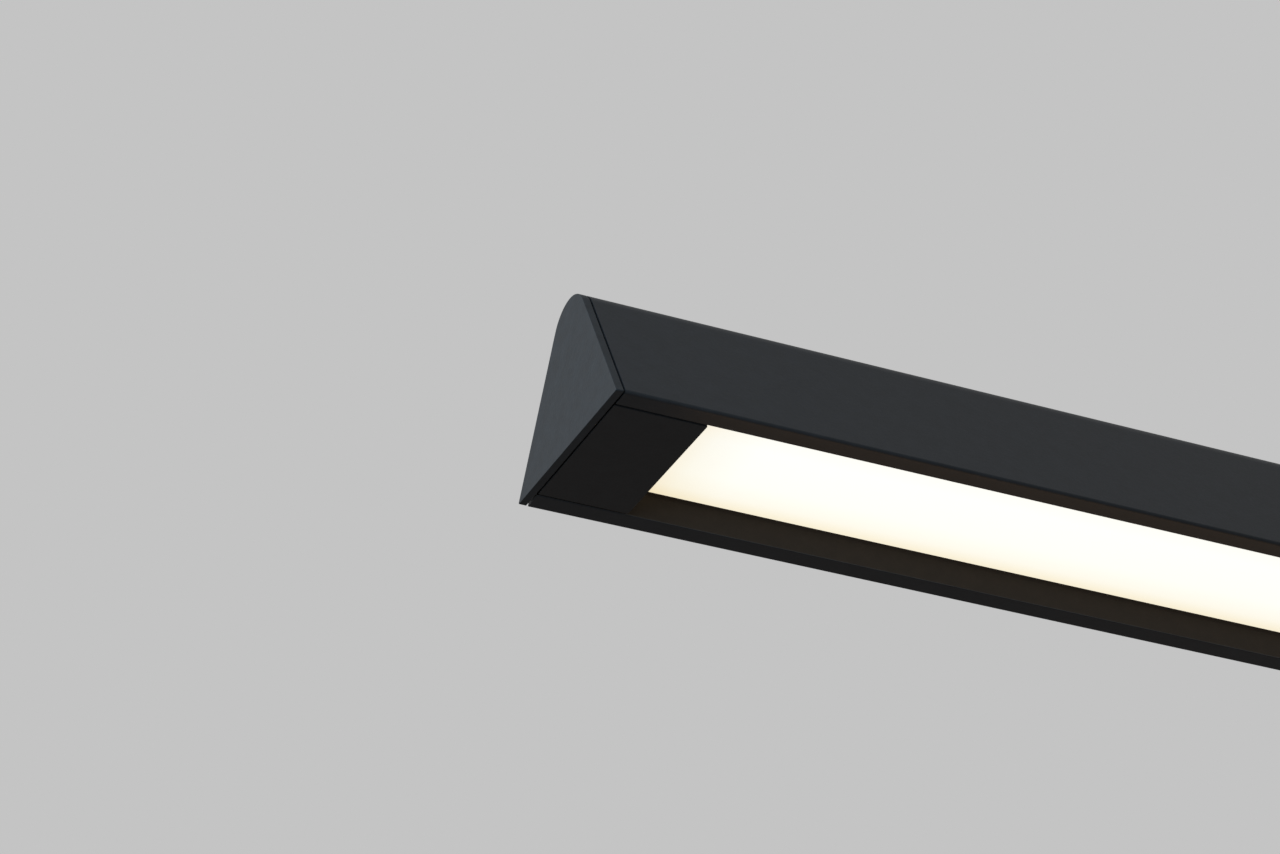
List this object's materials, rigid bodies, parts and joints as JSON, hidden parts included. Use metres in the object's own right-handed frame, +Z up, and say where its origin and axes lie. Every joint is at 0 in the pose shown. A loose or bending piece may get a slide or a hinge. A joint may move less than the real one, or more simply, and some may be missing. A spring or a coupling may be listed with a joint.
{
  "type": "vanity light bar",
  "caption": "Slim black linear light of triangular section with flat end plates and a recessed opal diffuser that shines down and forwards, hooked on a wall plate.",
  "frame": {"origin": "middle of the wall plate's back, on the wall plane", "axes": "+X along the bar, to the right as seen from the room; +Y into the wall; +Z up"},
  "size_m": [0.6, 0.0521, 0.0525],
  "materials": {
    "housing_coat": "fine-textured matte black powder coat on extruded aluminium",
    "end_plate_coat": "fine-textured matte black powder coat on sheet steel",
    "cover_coat": "matte black powder coat on sheet aluminium",
    "diffuser_opal": "opal acrylic, satin surface",
    "tray_white": "white reflector coat on sheet steel",
    "led_board_white": "white solder mask with yellow LED packages",
    "thermal_tape": "grey thermal tape",
    "foam_black": "black closed-cell foam",
    "block_cast": "die-cast, as cast",
    "zinc_steel": "zinc plated",
    "wall_plate_zinc": "zinc-coated sheet steel",
    "spring_steel": "plain spring steel",
    "brass_plain": "plain brass",
    "case_white": "fine-eroded white polycarbonate",
    "driver_board_green": "green solder mask",
    "transformer_tape": "yellow winding tape on a dark core",
    "capacitor_sleeve": "dark sleeve",
    "terminal_grey": "grey polyamide",
    "button_brown": "brown polyamide",
    "button_blue": "blue polyamide",
    "button_green": "green polyamide",
    "lead_brown": "brown wire insulation",
    "lead_blue": "blue wire insulation",
    "lead_green_yellow": "green and yellow wire insulation",
    "lead_red": "red wire insulation",
    "lead_black": "black wire insulation",
    "grommet_rubber": "black rubber"
  },
  "bodies": {
    "bar": {"housing_extrusion": "housing_coat", "end_plate_left": "end_plate_coat", "end_plate_right": "end_plate_coat", "cover_plate_left": "cover_coat", "cover_plate_right": "cover_coat", "diffuser": "diffuser_opal", "led_tray": "tray_white", "led_board_left": "led_board_white", "led_board_right": "led_board_white", "thermal_tape_left": "thermal_tape", "thermal_tape_right": "thermal_tape", "light_stop_left": "foam_black", "light_stop_right": "foam_black", "end_block_left": "block_cast", "end_block_right": "block_cast", "end_block_screw_left": "zinc_steel", "end_block_screw_right": "zinc_steel", "tray_screw_left": "zinc_steel", "tray_screw_right": "zinc_steel", "driver_screw_left": "zinc_steel", "driver_screw_right": "zinc_steel", "fixing_screw_left": "zinc_steel", "fixing_screw_right": "zinc_steel", "fixing_nut_left": "zinc_steel", "fixing_nut_right": "zinc_steel", "fixing_bracket_left": "zinc_steel", "fixing_bracket_right": "zinc_steel", "end_nut_left_lower": "zinc_steel", "end_nut_left_upper": "zinc_steel", "end_nut_right_lower": "zinc_steel", "end_nut_right_upper": "zinc_steel", "terminal_screw": "zinc_steel", "clamp_screw_front": "zinc_steel", "clamp_screw_rear": "zinc_steel", "wall_plate": "wall_plate_zinc", "cover_clip_left": "spring_steel", "cover_clip_right": "spring_steel", "earth_screw": "brass_plain", "earth_tag": "brass_plain", "driver_base": "case_white", "driver_lid": "case_white", "driver_board": "driver_board_green", "driver_transformer": "transformer_tape", "driver_capacitor": "capacitor_sleeve", "terminal_block": "terminal_grey", "cord_clamp": "terminal_grey", "lead_live": "lead_brown", "lead_neutral": "lead_blue", "lead_earth": "lead_green_yellow", "led_lead_positive": "lead_red", "board_link_positive": "lead_red", "led_lead_negative": "lead_black", "board_link_negative": "lead_black", "cable_grommet": "grommet_rubber"},
    "button_live": {"terminal_button_live": "button_brown"},
    "button_neutral": {"terminal_button_neutral": "button_blue"},
    "button_earth": {"terminal_button_earth": "button_green"}
  },
  "joints": [
    {"name": "press_live", "type": "slide", "parent": "bar", "child": "button_live", "axis": [0, -0.5, -0.866], "range_m": [0, 0.0012], "stiffness_N_per_m": 4000, "springref_m": -0.0006},
    {"name": "press_neutral", "type": "slide", "parent": "bar", "child": "button_neutral", "axis": [0, -0.5, -0.866], "range_m": [0, 0.0012], "stiffness_N_per_m": 4000, "springref_m": -0.0006},
    {"name": "press_earth", "type": "slide", "parent": "bar", "child": "button_earth", "axis": [0, -0.5, -0.866], "range_m": [0, 0.0012], "stiffness_N_per_m": 4000, "springref_m": -0.0006}
  ]
}
